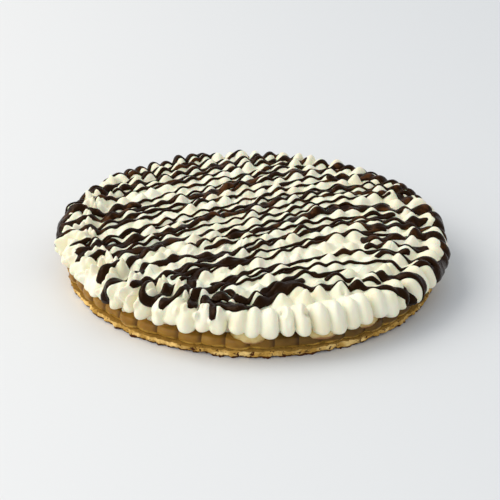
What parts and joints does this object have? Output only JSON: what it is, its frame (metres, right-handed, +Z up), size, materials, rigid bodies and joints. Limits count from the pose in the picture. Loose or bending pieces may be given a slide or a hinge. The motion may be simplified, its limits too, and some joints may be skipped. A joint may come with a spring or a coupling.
{
  "type": "banoffee pie",
  "caption": "Round uncut pie of pressed biscuit, caramel and banana slices under piped cream kisses with dark chocolate drizzle, for a table, counter or cake display.",
  "frame": {"origin": "middle of the underside of the biscuit base, on the surface that the pie stands on", "axes": "+Z up through the pie; -Y is the side that the picture shows, +X is to its right"},
  "size_m": [0.3016, 0.2977, 0.0453],
  "materials": {
    "biscuit": "matt pressed biscuit crumbs, golden brown with darker crumbs at the foot",
    "caramel": "soft set caramel, brown, with a low gloss",
    "banana": "moist pale yellow banana flesh, brown where it touches the caramel",
    "cream": "smooth whipped cream, warm white, with dark chocolate drizzle in glossy strokes"
  },
  "bodies": {
    "root": {"biscuit_base": "biscuit", "caramel_layer": "caramel", "banana_slice_1": "banana", "banana_slice_2": "banana", "banana_slice_3": "banana", "banana_slice_4": "banana", "banana_slice_5": "banana", "banana_slice_6": "banana", "banana_slice_7": "banana", "banana_slice_8": "banana", "banana_slice_9": "banana", "whipped_cream": "cream"}
  },
  "joints": []
}
